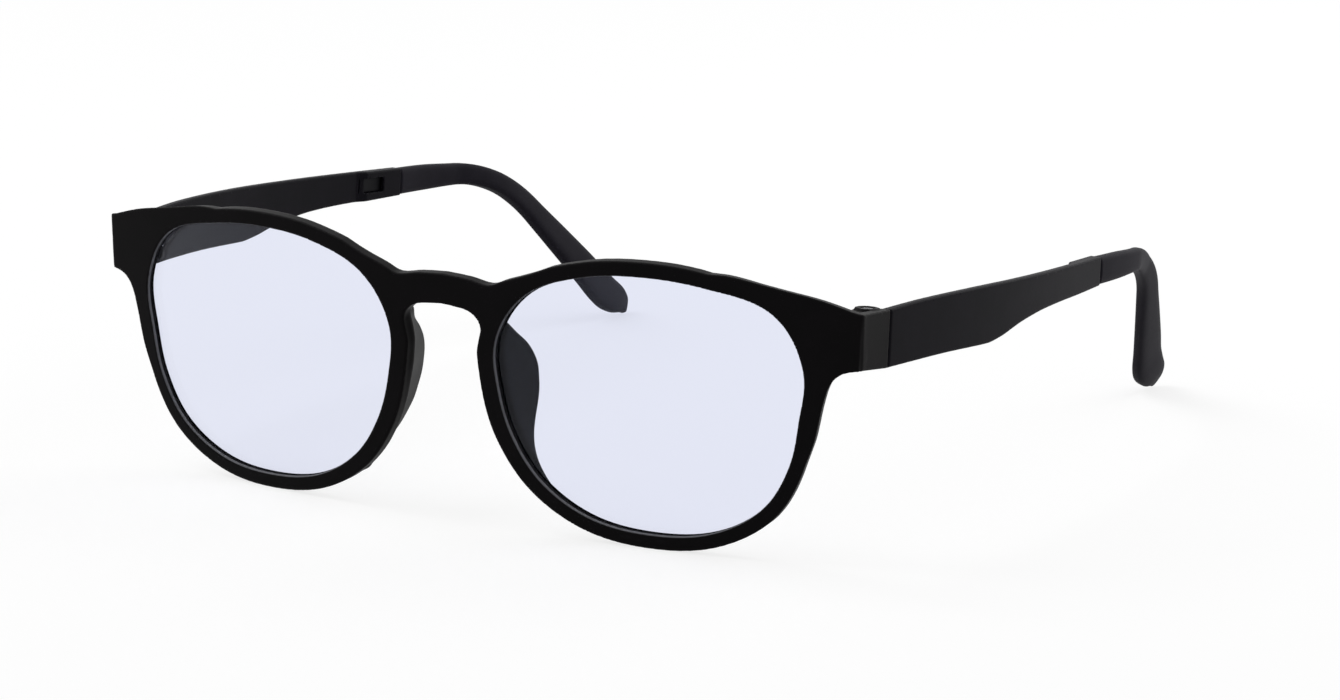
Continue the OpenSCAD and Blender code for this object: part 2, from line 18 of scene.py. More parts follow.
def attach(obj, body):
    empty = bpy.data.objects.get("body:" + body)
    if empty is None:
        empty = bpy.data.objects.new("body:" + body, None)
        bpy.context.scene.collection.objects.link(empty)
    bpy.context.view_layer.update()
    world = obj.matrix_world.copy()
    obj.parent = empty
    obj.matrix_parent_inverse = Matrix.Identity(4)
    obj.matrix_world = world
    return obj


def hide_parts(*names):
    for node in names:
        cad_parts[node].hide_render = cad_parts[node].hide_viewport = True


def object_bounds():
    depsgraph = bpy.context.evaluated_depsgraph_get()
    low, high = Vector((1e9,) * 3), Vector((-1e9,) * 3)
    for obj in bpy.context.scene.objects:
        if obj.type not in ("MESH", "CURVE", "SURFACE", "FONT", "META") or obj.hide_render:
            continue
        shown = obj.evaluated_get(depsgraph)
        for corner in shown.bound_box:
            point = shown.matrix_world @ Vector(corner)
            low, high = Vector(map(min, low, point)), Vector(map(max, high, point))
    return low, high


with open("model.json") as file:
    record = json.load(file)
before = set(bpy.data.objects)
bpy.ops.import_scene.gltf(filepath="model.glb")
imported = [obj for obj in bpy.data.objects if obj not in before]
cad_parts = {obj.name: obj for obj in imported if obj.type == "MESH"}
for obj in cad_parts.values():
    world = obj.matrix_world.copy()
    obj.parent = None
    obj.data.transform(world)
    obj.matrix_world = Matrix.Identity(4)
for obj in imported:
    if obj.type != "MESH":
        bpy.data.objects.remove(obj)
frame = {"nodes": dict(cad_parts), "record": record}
cad_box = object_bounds()
nodes = frame["nodes"]
MM = 0.001

# Sizes of the front, in millimetres. W, H, T, L, R and A end the names of widths, heights, thicknesses,
# lengths, radii and angles. A DROP is measured down from an edge, and an INSET inwards.
LENS_W, LENS_H, BRIDGE_GAP, SIDE_W = 51.7, 41.3, 19.4, 8.6
FACE_R, FRONT_T = 284, 2.5
RIM_W, RIM_W_NOSE = 2.35, 0.75
BRIDGE_H, BRIDGE_DROP, FLAT_CUT = 4.8, 5.45, 0.05
LUG_DROP, LUG_H, LUG_FLARE, LUG_WALL = 3.25, 9.0, 0.45, 1.8
PIN_BACK, PIN_INSET, PIN_DROP, TEMPLE_TILT = 16.75, 3.1, 5.67, radians(7.1)
GROOVE_DEEP, GROOVE_W, LENS_T, LENS_DEEP, LENS_GAP = 0.75, 0.7, 1.2, 1.1, 0.05
MAGNET_R, MAGNET_T, MAGNET_INSET, MAGNET_DROP = 1.5, 1.0, 7.8, 3.6
PAD_REACH, PAD_T, PAD_EDGE_T, PAD_ROOT, PAD_LEAST = 11.25, 1.7, 1.3, 0.2, 0.3

# Sizes of the hinge
SEAM_H, SEAM_TOP, SEAM_LOW, SEAM_BACK, SEAM_GAP = 8.6, 4.45, -4.65, 2.0, 0.15
BARREL_H, BARREL_RISE, KNUCKLE_R, MID_KNUCKLE_H, LAYER_T = 7.2, 0.35, 1.95, 2.7, 0.3
BORE_R, SLEEVE_R, COUNTERBORE_R, COUNTERBORE_DEEP = 0.75, 1.1, 1.15, 0.9

# Clearances between fitted parts, then the screw's slot
FIT_GAP, PRESS_GAP, END_GAP, RELIEF_GAP, WASHER_INSET = 0.05, 0.01, 0.1, 0.2, 0.15
MAGNET_SUNK, MAGNET_GAP = 0.1, 0.03
HEAD_GAP, HEAD_SUNK, SLOT_W, SLOT_DEEP = 0.12, 0.15, 0.35, 0.3
# The rounding of a turned part's edges, and the inner radius of one that is solid
TURNED_EDGE, SOLID_R = 0.06, 0.004

# Sizes of the temples and tips
TEMPLE_L, TEMPLE_H, TEMPLE_END_H, TEMPLE_T, TEMPLE_BOW = 74.6, 8.25, 4.8, 1.5, 2.3
BLOCK_L, BLOCK_T, END_INSET, TIP_GAP, TIP_LOWER = 11.4, 2.3, 0.05, 0.1, 0.05
START_RAMP, BLOCK_RAMP = 6, 2
CORE_H, CORE_T, CORE_TONGUE, WINDOW_L, WINDOW_H, WINDOW_BACK = 2.3, 0.9, 10.8, 5.2, 2.6, 4.8
TIP_STRAIGHT, BEND_R, BEND_A, TIP_LEG = 17.0, 24.6, radians(46.3), 29.2
PADDLE_H, PADDLE_T, PADDLE_LEAN, TIP_IN, PADDLE_CURL = 7.0, 2.6, 0.38, 4.25, 0.5
# One gives the tip an oval section, and zero a rectangle
TIP_OVALNESS = 0.6

# Radii of the moulded edges
FACE_EDGE, BACK_EDGE, OPENING_EDGE, CORNER_EDGE = 0.35, 0.5, 0.25, 0.6
WALL_EDGE, KNUCKLE_EDGE, ARM_EDGE, ARM_KNUCKLE_EDGE, WINDOW_EDGE = 0.3, 0.2, 0.4, 0.15, 0.3
# Fillets where two forms of one moulding meet
CORNER_FILLET, PAD_FILLET, LUG_FILLET, KNUCKLE_FILLET, ARM_FILLET = 0.3, 1.0, 0.5, 0.4, 0.3
# Width and depth of the strip along the lens opening that is painted paler, a painted highlight of the
# opening's rounded edge
HIGHLIGHT_BAND_W, HIGHLIGHT_BAND_DEEP = 0.1, 0.65
# How far the rim's outer side tapers in towards its back: beside the lens, then below and above the
# end piece
SIDE_DRAFT, UNDER_DRAFT, TOP_DRAFT = 0.2, 0.5, 0.4
# Where each taper sets in and is complete, outwards from the middle, and the heights of the last one
SIDE_SPAN, UNDER_SPAN, TOP_SPAN, TOP_HEIGHTS = (40, 50), (56, 62), (44, 54), (10, 13)
# Spacing of the grids that the front and the arms are meshed on, and the degrees round a lens
FRONT_STEP, ARM_STEP, ROUND = 0.265, 0.2, range(0, 360, 3)
# Edges that turn by more than this are shaded sharp
LENS_SHARP, TURNED_SHARP = radians(25), radians(40)

EYE_X = (BRIDGE_GAP + LENS_W) / 2
EYE_IN = BRIDGE_GAP / 2
LUG_X = LENS_W + EYE_IN + SIDE_W
LUG_Z = LENS_H / 2 - LUG_DROP
LUG_LOW = LUG_Z - LUG_H
LUG_TOP = LUG_Z - 0.15
BRIDGE_Z = LENS_H / 2 - BRIDGE_DROP
PIN_X = LUG_X - PIN_INSET
PIN_Z = LUG_Z - PIN_DROP
MAGNET_X = LUG_X - MAGNET_INSET
MAGNET_Z = LUG_Z - MAGNET_DROP
GROOVE_MIDDLE = LENS_DEEP + LENS_T / 2
BARREL_TOP = SEAM_H / 2
BARREL_LOW = BARREL_TOP - BARREL_H
MID_TOP = BARREL_TOP - (BARREL_H - MID_KNUCKLE_H) / 2
MID_LOW = MID_TOP - MID_KNUCKLE_H
WALL_X = PIN_INSET - LUG_WALL
TEMPLE_START = SEAM_BACK + SEAM_GAP
TEMPLE_END_TOP = SEAM_H / 2 + 0.85
TIP_Z = TEMPLE_END_TOP - TEMPLE_END_H / 2

# The frame leans back a little to stand level: the hinge's axis in the record gives the angle
pin_axis = frame["record"]["behaviour"]["joints"][0]["axis"]
LEAN = TEMPLE_TILT - atan2(pin_axis[1], pin_axis[2])


# Places

def face_y(x, z):
    """How far back the curved face lies."""
    return FACE_R - np.sqrt(FACE_R ** 2 - x * x - z * z)


FACE_START = face_y(0, BRIDGE_Z) + FLAT_CUT


def front_to_row(points):
    """Places in the front's frame, in millimetres, as places in the row's frame, in metres."""
    x, y, z = np.asarray(points, float).T
    y, z = y - FACE_START, z - BRIDGE_Z
    return np.stack([x, y * cos(LEAN) - z * sin(LEAN), y * sin(LEAN) + z * cos(LEAN)], -1) * MM


def pin_to_row(points):
    """Places in the frame of the left hinge pin as places in the row's frame."""
    x, y, z = np.asarray(points, float).T
    back = PIN_BACK + y * cos(TEMPLE_TILT) + z * sin(TEMPLE_TILT)
    height = PIN_Z - y * sin(TEMPLE_TILT) + z * cos(TEMPLE_TILT)
    return front_to_row(np.stack([PIN_X + x, back, height], -1))


def between(p0, p1, p2, p3, t):
    """A share t of the way from p1 to p2 on a smooth curve."""
    return 0.5 * (2 * p1 + (p2 - p0) * t + (2 * p0 - 5 * p1 + 4 * p2 - p3) * t ** 2
                  + (3 * p1 - p0 - 3 * p2 + p3) * t ** 3)


def curve(points, steps):
    """A smooth curve through points, in a number of steps from each to the next."""
    points = np.asarray(points, float)
    last = len(points) - 1
    line = [between(points[max(i - 1, 0)], points[i], points[i + 1], points[min(i + 2, last)], j / steps)
            for i in range(last) for j in range(steps)]
    return np.array(line + [points[last]])


def share(value, start, end):
    """How much of the way from start to end a value has gone: from zero to one."""
    return np.clip((value - start) / (end - start), 0, 1)


# Shapes by distance: below zero inside, and zero on the surface

def rounded(across, along, radius):
    """What lies within both distances, with the edge between them rounded."""
    a, b = across + radius, along + radius
    return np.hypot(np.maximum(a, 0), np.maximum(b, 0)) + np.minimum(np.maximum(a, b), 0) - radius


def joined(a, b, fillet):
    """Two shapes in one, with a fillet where they meet."""
    h = np.clip(0.5 + 0.5 * (b - a) / fillet, 0, 1)
    return b + (a - b) * h - fillet * h * (1 - h)


def cut(a, b, edge=0.05):
    """The first shape without the second."""
    return -joined(-a, b, edge)


def outline(points, u, v, open_side=False):
    """Distance in a plane to a closed outline. With open_side, the line that closes it doesn't count."""
    nearest = np.full(np.broadcast(u, v).shape, 1e9)
    inside = np.zeros(nearest.shape, bool)
    for i in range(len(points)):
        (a, b), (c, d) = points[i - 1], points[i]
        du, dv = c - a, d - b
        if i or not open_side:
            t = np.clip(((u - a) * du + (v - b) * dv) / (du * du + dv * dv + 1e-12), 0, 1)
            nearest = np.minimum(nearest, (u - a - t * du) ** 2 + (v - b - t * dv) ** 2)
        if b != d:
            inside ^= ((b > v) != (d > v)) & (u < du * (v - b) / dv + a)
    return np.where(inside, -1, 1) * np.sqrt(nearest)


def skin(shape, low, high, step):
    """The surface of a shape as points and quads: one point for each cell of a grid that the
    surface passes through, drawn onto the surface, and a quad round each crossed grid edge."""
    lines = [np.arange(a, b + step, step) for a, b in zip(low, high)]
    solid = shape(*np.meshgrid(*lines, indexing="ij", sparse=True)) < 0
    size = [n - 1 for n in solid.shape]
    count = sum(solid[tuple(slice(o, o + n) for o, n in zip(offset, size))].astype(np.int8)
                for offset in product((0, 1), repeat=3))
    crossed = (count > 0) & (count < 8)
    number = np.full(size, -1)
    number[crossed] = np.arange(crossed.sum())
    points = np.stack([line[:-1][i] + step / 2 for line, i in zip(lines, np.nonzero(crossed))], -1)
    on_middle = np.abs(points[:, 0]) < step / 4
    probe, least_slope = 0.02, 0.05
    for _ in range(4):
        here = shape(*points.T)
        slope = np.stack([(shape(*(points + way).T) - here) / probe for way in np.eye(3) * probe], -1)
        slope[on_middle, 0] = 0
        move = slope * (here / np.maximum((slope ** 2).sum(1), least_slope))[:, None]
        points -= np.clip(move, -step, step)
    quads = []
    for axis in range(3):
        turn = (axis, (axis + 1) % 3, (axis + 2) % 3)
        full, cell = solid.transpose(turn), number.transpose(turn)
        for from_solid in (True, False):
            near, far = full[:-1, 1:-1, 1:-1], full[1:, 1:-1, 1:-1]
            i, j, k = np.nonzero(near & ~far if from_solid else far & ~near)
            ring = [cell[i, j, k], cell[i, j + 1, k], cell[i, j + 1, k + 1], cell[i, j, k + 1]]
            quads.append(np.stack(ring if from_solid else ring[::-1], -1))
    return points, np.concatenate(quads)


# Meshes

def make_piece(name, points, faces, material, body, slot, *stands_for):
    """A smooth mesh that rides on a body and stands for CAD nodes."""
    mesh = bpy.data.meshes.new(name)
    mesh.from_pydata(np.asarray(points).tolist(), [], [[int(i) for i in face] for face in faces])
    mesh.validate()
    mesh.polygons.foreach_set("use_smooth", [True] * len(mesh.polygons))
    mesh.materials.append(material)
    piece = bpy.data.objects.new(name, mesh)
    bpy.context.scene.collection.objects.link(piece)
    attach(piece, body)
    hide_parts(*stands_for)
    return piece


def bands(rings, count):
    """The quads between rings of points that follow each other."""
    faces = []
    for ring in range(rings - 1):
        near, far = ring * count, (ring + 1) * count
        for i in range(count):
            j = (i + 1) % count
            faces.append([near + i, far + i, far + j, near + j])
    return faces


def other_side(points, faces):
    """The mirror image of a mesh, with its faces still turned outwards."""
    return points * [-1, 1, 1], [list(reversed(f)) for f in faces]


# Front: both rims, the bridge, the end pieces with their knuckles, and the nose pads

# The lens opening against an ellipse, at even steps round it from its outer end over its top
FULLNESS = [0.97, 1.075, 1.135, 1.03, 0.995, 1.03, 1.095, 1.065,
            0.975, 0.955, 0.98, 1, 1, 1.025, 1.02, 0.975]


def eye_point(angle):
    """A point of the lens opening. FULLNESS says how it departs from an ellipse."""
    count = len(FULLNESS)
    place = (angle % 360) * count / 360
    i = int(place)
    full = between(*[FULLNESS[(i + k) % count] for k in (-1, 0, 1, 2)], place - i)
    a = radians(angle)
    return np.array([EYE_X + full * cos(a) * LENS_W / 2, full * sin(a) * LENS_H / 2])


def eye_at(angle, out):
    """The same, moved outwards square to the opening's edge."""
    dx, dz = eye_point(angle + 1) - eye_point(angle - 1)
    return eye_point(angle) + out * np.array([dz, -dx]) / np.hypot(dx, dz)


def rim_at(angle):
    """A point of the rim's outer edge, which is wider beside the nose."""
    return eye_at(angle, RIM_W + RIM_W_NOSE * max(0, -cos(radians(angle))) ** 3)


def half_outline():
    """The outer edge of the front's left half, from the top of the bridge round to its underside."""
    top, low = BRIDGE_Z + BRIDGE_H / 2, BRIDGE_Z - BRIDGE_H / 2
    bridge = curve([(0, top), (EYE_IN - 5.2, top - 0.3), (EYE_IN - 1.2, top - 0.9),
                    (EYE_IN + 1.8, top + 0.15), rim_at(131), rim_at(124)], 4)
    brow = [rim_at(a) for a in range(121, 68, -3)]
    shoulder = curve([rim_at(68), (LUG_X - 20, LUG_Z + 4.5), (LUG_X - 12.3, LUG_Z + 3.1),
                      (LUG_X - 6, LUG_Z + 1.85), (LUG_X + LUG_FLARE, LUG_TOP)], 4)
    underside = curve([(LUG_X, LUG_LOW), (LUG_X - 1.4, LUG_LOW - 0.15), (LUG_X - 2.8, LUG_LOW - 0.65),
                       (LUG_X - 4, LUG_LOW - 1.7), (LUG_X - 4.9, LUG_LOW - 3.4), (LUG_X - 5.7, LUG_LOW - 6.2),
                       (LUG_X - 6.4, LUG_LOW - 9.4), (LUG_X - 7.1, LUG_LOW - 12.1),
                       rim_at(-19), rim_at(-22)], 4)
    bottom = [rim_at(a) for a in range(-25, -187, -3)]
    keyhole = curve([rim_at(-190), (EYE_IN - 3.2, low - 6.9), (EYE_IN - 2.7, low - 4.4),
                     (EYE_IN - 2.5, low - 3.2), (EYE_IN - 3.2, low - 1.7), (EYE_IN - 5.2, low - 0.5),
                     (0, low)], 5)
    return np.concatenate([bridge, brow, shoulder, underside, bottom, keyhole])


HALF = half_outline()
OPENING = np.array([eye_at(a, 0) for a in ROUND])

# Height, the rim's outer edge, and the fin's rear edge as x and as a share of its reach
PAD_STATIONS = np.array([
    [11, 8, 8.3, 0.36], [10, 7.6, 8.8, 0.49], [8, 7, 9.7, 0.63], [6, 6.7, 10.2, 0.815],
    [4, 6.8, 10.5, 0.94], [2, 7, 10.8, 1], [0, 7.5, 11, 0.995], [-2, 8.1, 11.2, 0.965],
    [-4, 8.7, 11.4, 0.89], [-6, 9.5, 11.6, 0.795], [-8, 10.4, 12.1, 0.68], [-10, 11.5, 12.9, 0.58],
    [-12, 12.7, 14.2, 0.49], [-14, 14.4, 16, 0.42], [-16, 16.3, 18, 0.38]])
PAD_HEIGHTS, PAD_RIM_X, PAD_EDGE_X, PAD_SHARE = curve(PAD_STATIONS, 6)[::-1].T


def lug_outer(y, z):
    """The end piece's outer side, which flares out towards its top corner."""
    near = face_y(LUG_X, LUG_Z)
    return LUG_X + LUG_FLARE * share(z, LUG_LOW, LUG_TOP) * (1 - share(y, near, PIN_BACK + SEAM_BACK))


def rim_shape(x, y, z, around, hole):
    """Both rims and the bridge: a plate bent to the curved face, with a groove round each opening.
    The distances in a plane to the outer edge and to the lens opening are given as around and hole."""
    depth = FACE_R - np.sqrt(x * x + (y - FACE_R) ** 2 + z * z)
    layer = np.abs(depth - FRONT_T / 2) - FRONT_T / 2
    side = SIDE_DRAFT * share(x, *SIDE_SPAN)
    under = UNDER_DRAFT * share(x, *UNDER_SPAN) * share(z, LUG_LOW + 2.5, LUG_LOW - 1.5)
    above = TOP_DRAFT * share(x, *TOP_SPAN) * share(z, *TOP_HEIGHTS)
    around = around + (side + under + above) * share(depth, 0, FRONT_T)
    outer_edge = np.where(depth < FRONT_T / 2, FACE_EDGE, BACK_EDGE)
    edge = np.where(around > -hole, outer_edge, OPENING_EDGE)
    plate = rounded(np.maximum(around, -hole), layer, edge)
    groove = np.maximum(hole - GROOVE_DEEP, np.abs(depth - GROOVE_MIDDLE) - GROOVE_W / 2)
    corner = rounded(x - lug_outer(y, z), -depth, CORNER_EDGE)
    return -joined(-np.maximum(plate, -groove), -corner, CORNER_FILLET)


def pad_shape(x, y, z):
    """A nose pad: a fin that grows from the back of the rim and splays away from it."""
    level = np.clip(z, PAD_HEIGHTS[0], PAD_HEIGHTS[-1])
    x0 = np.interp(level, PAD_HEIGHTS, PAD_RIM_X) + PAD_T / 2
    y0 = face_y(x0, level) + FRONT_T - PAD_ROOT
    x1 = np.interp(level, PAD_HEIGHTS, PAD_EDGE_X)
    reach = np.interp(level, PAD_HEIGHTS, PAD_SHARE) * PAD_REACH
    y1 = np.maximum(reach - PAD_EDGE_T / 2, y0 + PAD_LEAST)
    dx, dy = x1 - x0, y1 - y0
    along = np.clip(((x - x0) * dx + (y - y0) * dy) / (dx * dx + dy * dy), 0, 1)
    half_t = (PAD_T + (PAD_EDGE_T - PAD_T) * along) / 2
    aside = np.hypot(x - x0 - along * dx, y - y0 - along * dy)
    return np.hypot(aside, z - level) - half_t


def in_pin_frame(x, y, z):
    """Places of the front's frame in the frame of the left hinge pin."""
    y, z = y - PIN_BACK, z - PIN_Z
    c, s = cos(TEMPLE_TILT), sin(TEMPLE_TILT)
    return x - PIN_X, y * c - z * s, y * s + z * c


def from_pin(y, z):
    """How far back and how high, in the front's frame, a place in the pin's frame lies."""
    return (PIN_BACK + y * cos(TEMPLE_TILT) + z * sin(TEMPLE_TILT),
            PIN_Z - y * sin(TEMPLE_TILT) + z * cos(TEMPLE_TILT))


def end_piece_shape(x, y, z):
    """The end piece's side wall, from behind the face's round corner back to the temple's seam."""
    near = face_y(LUG_X, LUG_Z) + CORNER_EDGE
    wall = [(near, LUG_TOP), from_pin(SEAM_BACK, SEAM_TOP), from_pin(SEAM_BACK, SEAM_LOW), (near, LUG_LOW)]
    return rounded(outline(wall, y, z), np.maximum(x - lug_outer(y, z), LUG_X - LUG_WALL - x), WALL_EDGE)


# The web from above, from the knuckle to the side wall and forwards to the face
WEB = [(0, KNUCKLE_R), (WALL_X + 0.1, KNUCKLE_R), (WALL_X + 0.1, -7.3), (WALL_X - 3.5, -7.7),
       (-KNUCKLE_R - 0.1, -5), (-KNUCKLE_R, -2.5), (-KNUCKLE_R, 0), (-1, 0)]


def knuckle_shape(x, y, z):
    """The outer knuckles, in the pin's frame, with the web that joins them to the end piece. Only
    the round post of the upper one stands higher by BARREL_RISE, with the screw's head in it."""
    post = np.hypot(x, y) - KNUCKLE_R
    plan = np.minimum(post, outline(WEB, x, y))
    low_h = MID_LOW - LAYER_T - BARREL_LOW
    high_h = low_h + BARREL_RISE
    lower = rounded(plan, np.abs(z - BARREL_LOW - low_h / 2) - low_h / 2, KNUCKLE_EDGE)
    upper = rounded(plan, np.abs(z - MID_TOP - LAYER_T - low_h / 2) - low_h / 2, KNUCKLE_EDGE)
    raised = rounded(post, np.abs(z - MID_TOP - LAYER_T - high_h / 2) - high_h / 2, KNUCKLE_EDGE)
    return np.minimum(np.minimum(lower, upper), raised)


def hinge_bores(x, y, z):
    """What the screw, its head, the insert and the temple's knuckle take out, in the pin's frame."""
    out = np.hypot(x, y)
    head = np.maximum(out - COUNTERBORE_R, BARREL_TOP - COUNTERBORE_DEEP - z)
    insert = np.maximum(out - SLEEVE_R, z - MID_LOW + LAYER_T)
    off_middle = np.abs(z - (MID_TOP + MID_LOW) / 2)
    relief = np.maximum(out - KNUCKLE_R - RELIEF_GAP, off_middle - MID_KNUCKLE_H / 2 - LAYER_T)
    return np.minimum(np.minimum(out - BORE_R, head), np.minimum(insert, relief))


def front_shape(x, y, z):
    """The whole moulding. Its right half is the mirror image of its left half."""
    x = np.abs(x)
    body = rim_shape(x, y, z, outline(HALF, x, z, open_side=True), outline(OPENING, x, z))
    body = joined(body, pad_shape(x, y, z), PAD_FILLET)
    body = joined(body, end_piece_shape(x, y, z), LUG_FILLET)
    pin = in_pin_frame(x, y, z)
    body = cut(joined(body, knuckle_shape(*pin), KNUCKLE_FILLET), hinge_bores(*pin))
    magnet_y = face_y(MAGNET_X, MAGNET_Z) + FRONT_T - MAGNET_T - MAGNET_SUNK
    from_magnet = np.hypot(x - MAGNET_X, z - MAGNET_Z)
    body = cut(body, np.maximum(from_magnet - MAGNET_R - MAGNET_GAP, magnet_y - y))
    flat = (y - FACE_START) * cos(LEAN) - (z - BRIDGE_Z) * sin(LEAN)
    return np.maximum(body, np.where(x < EYE_IN, -flat, -1))


def edge_highlight_band(x, y, z):
    """How far a place lies within the strip along the lens opening that takes the painted highlight, in
    millimetres.
    """
    depth = FACE_R - np.sqrt(x * x + (y - FACE_R) ** 2 + z * z)
    return np.minimum(HIGHLIGHT_BAND_W - outline(OPENING, x, z), HIGHLIGHT_BAND_DEEP - depth)


def make_front(material):
    """The left half is meshed, mirrored and welded to its image along the middle."""
    low, high = (-FRONT_STEP / 2, -0.5, -25), (LUG_X + 1, 21, 25)
    points, faces = skin(front_shape, low, high, FRONT_STEP)
    points[np.abs(points[:, 0]) < 1e-6, 0] = 0
    # The strip along the lens opening that takes the painted highlight
    painted_edge_highlight = np.tile(edge_highlight_band(*points.T), 2)
    points = np.concatenate([front_to_row(points), front_to_row(points) * [-1, 1, 1]])
    faces = np.concatenate([faces, faces[:, ::-1] + len(points) // 2])
    front = make_piece("front_moulding", points, faces, material, "front_body", "frame", "front")
    front.data.attributes.new("painted_edge_highlight", "FLOAT", "POINT").data.foreach_set("value", painted_edge_highlight)
    weld(front)


def weld(piece):
    """Merges points that lie on each other."""
    shell = bmesh.new()
    shell.from_mesh(piece.data)
    bmesh.ops.remove_doubles(shell, verts=shell.verts, dist=1e-6)
    shell.to_mesh(piece.data)
    shell.free()


# Lenses: a curved plate with a thinner rim that sits in the groove

def make_lens(side, material, painted_shade_edge):
    """One lens: rings of points from its middle in front, round its rim, to its middle behind."""
    shares, bevel = (0.15, 0.35, 0.6, 0.85, 1), 0.1
    near, far = LENS_DEEP, LENS_DEEP + LENS_T
    rim_near, rim_far = [GROOVE_MIDDLE + turn * (GROOVE_W / 2 - LENS_GAP) for turn in (-1, 1)]
    rim_out = GROOVE_DEEP - LENS_GAP
    rows = [(s, -LENS_GAP, near) for s in shares]
    first_edge = len(rows) - 1
    rows += [(1, -LENS_GAP, rim_near), (1, rim_out - bevel, rim_near), (1, rim_out, rim_near + bevel),
             (1, rim_out, rim_far - bevel), (1, rim_out - bevel, rim_far), (1, -LENS_GAP, rim_far)]
    last_edge = len(rows)
    rows += [(s, -LENS_GAP, far) for s in shares[::-1]]
    centre = np.array([EYE_X, 0])
    points = []
    for along, out, depth in rows:
        for a in ROUND:
            x, z = centre + along * (eye_at(a, out) - centre)
            points.append((x, FACE_R - np.sqrt((FACE_R - depth) ** 2 - x * x - z * z), z))
    count = len(ROUND)
    faces = bands(len(rows), count)
    for depth, row, turn in ((near, 0, 1), (far, len(rows) - 1, -1)):
        points.append((EYE_X, FACE_R - np.sqrt((FACE_R - depth) ** 2 - EYE_X ** 2), 0))
        for i in range(count):
            faces.append([len(points) - 1, row * count + i, row * count + (i + 1) % count][::turn])
    points = front_to_row(points)
    if side == "right":
        points, faces = other_side(points, faces)
    lens = make_piece("lens_" + side + "_glazing", points, faces, material, "front_body", "lens",
                      "lens_" + side)
    lens.data.set_sharp_from_angle(angle=LENS_SHARP)
    # The rim's faces take the edge material, coloured dark as painted shade of the groove
    lens.data.materials.append(painted_shade_edge)
    for polygon in lens.data.polygons[first_edge * count:last_edge * count]:
        polygon.material_index = 1


# Temples: a bowed arm with a step in its lower edge and a thicker block at its end

def temple_outer(y):
    """Where the arm's bowed outer face lies."""
    s = share(y, SEAM_BACK, TEMPLE_L)
    return PIN_INSET + TEMPLE_BOW * np.sin(pi * s) - END_INSET * s


def temple_thick(y):
    """The arm's thickness: as the end piece's wall at its start, then thin, then the block."""
    block = TEMPLE_L - BLOCK_L
    towards_block = share(y, block, block + BLOCK_RAMP)
    from_start = share(y, TEMPLE_START, TEMPLE_START + START_RAMP)
    return np.where(y > block, TEMPLE_T + (BLOCK_T - TEMPLE_T) * towards_block,
                    LUG_WALL + (TEMPLE_T - LUG_WALL) * from_start)


def core_x(y):
    """Where the middle of the core's thickness lies."""
    return temple_outer(y) - BLOCK_T / 2


# The arm's lower edge, as shares of its length and of the step's rise
STEP_EDGE = np.array([
    [0, -0.16], [0.12, -0.09], [0.25, -0.01], [0.4, 0], [0.43, 0.02], [0.46, 0.095], [0.49, 0.19],
    [0.53, 0.36], [0.57, 0.51], [0.62, 0.645], [0.68, 0.765], [0.77, 0.86], [0.88, 0.92], [1, 1]])


def temple_side():
    """The temple's outline from the side."""
    low, top = SEAM_H / 2 - TEMPLE_H, SEAM_H / 2
    rise = TEMPLE_END_TOP - TEMPLE_END_H - low
    upper = curve([(TEMPLE_START, SEAM_TOP), (0.15 * TEMPLE_L, top + 0.78), (0.35 * TEMPLE_L, top + 1.1),
                   (0.6 * TEMPLE_L, top + 1.05), (TEMPLE_L, TEMPLE_END_TOP)], 5)
    step = STEP_EDGE * [TEMPLE_L, rise] + [0, low]
    step[0, 0] = TEMPLE_START
    return np.concatenate([upper, curve(step, 3)[::-1]])


ARM_SIDE = temple_side()


def arm_knuckle(x, y, z):
    """The temple's knuckle and the web that joins it to the arm."""
    reach = 9
    inner = temple_outer(reach) - temple_thick(reach)
    web = [(0, 0), (-KNUCKLE_R, 0), (0.3 - KNUCKLE_R, 1.6), (inner, reach), (inner + 0.6, reach),
           (WALL_X + 0.6, TEMPLE_START), (WALL_X - 0.15, TEMPLE_START), (KNUCKLE_R / 2, 1.6)]
    plan = np.minimum(np.hypot(x, y) - KNUCKLE_R, outline(web, x, y))
    layer = np.abs(z - (MID_TOP + MID_LOW) / 2) - MID_KNUCKLE_H / 2
    return rounded(plan, layer, ARM_KNUCKLE_EDGE)


def core_socket(x, y, z):
    """The slot for the core's tongue and the window in the arm's inner face that shows it."""
    aside, above = np.abs(x - core_x(y)), np.abs(z - TIP_Z)
    slot = np.maximum(aside - CORE_T / 2 - FIT_GAP, above - CORE_H / 2 - FIT_GAP)
    slot = np.maximum(slot, TEMPLE_L - CORE_TONGUE - y)
    middle = TEMPLE_L - WINDOW_BACK - WINDOW_L / 2
    window = rounded(np.abs(y - middle) - WINDOW_L / 2, above - WINDOW_H / 2, WINDOW_EDGE)
    return np.minimum(slot, np.maximum(window, x - core_x(y)))


def temple_shape(x, y, z):
    """The left arm in the pin's frame."""
    middle = temple_outer(y) - temple_thick(y) / 2
    arm = rounded(outline(ARM_SIDE, y, z), np.abs(x - middle) - temple_thick(y) / 2, ARM_EDGE)
    arm = np.maximum(arm, TEMPLE_START - y)
    arm = joined(arm, arm_knuckle(x, y, z), ARM_FILLET)
    bore = np.hypot(x, y) - SLEEVE_R
    return cut(cut(arm, bore), core_socket(x, y, z))


def make_temples(material):
    """Both arms. The right one is the mirror image of the left one."""
    low, high = (-2.6, -2.6, -5), (6, TEMPLE_L + 0.6, 6)
    points, faces = skin(temple_shape, low, high, ARM_STEP)
    points = pin_to_row(points)
    mirrored = points * [-1, 1, 1]
    make_piece("temple_left_arm", points, faces, material, "temple_left_body", "temple", "temple_left")
    make_piece("temple_right_arm", mirrored, faces[:, ::-1], material, "temple_right_body", "temple",
               "temple_right")


# Tips: sleeves whose spine runs straight on from the temple, bends down and ends in a paddle

BEND_L = BEND_R * BEND_A
LEG_START = TIP_STRAIGHT + BEND_L
TIP_L = LEG_START + TIP_LEG
END_H = TEMPLE_END_H / 2 - TIP_LOWER
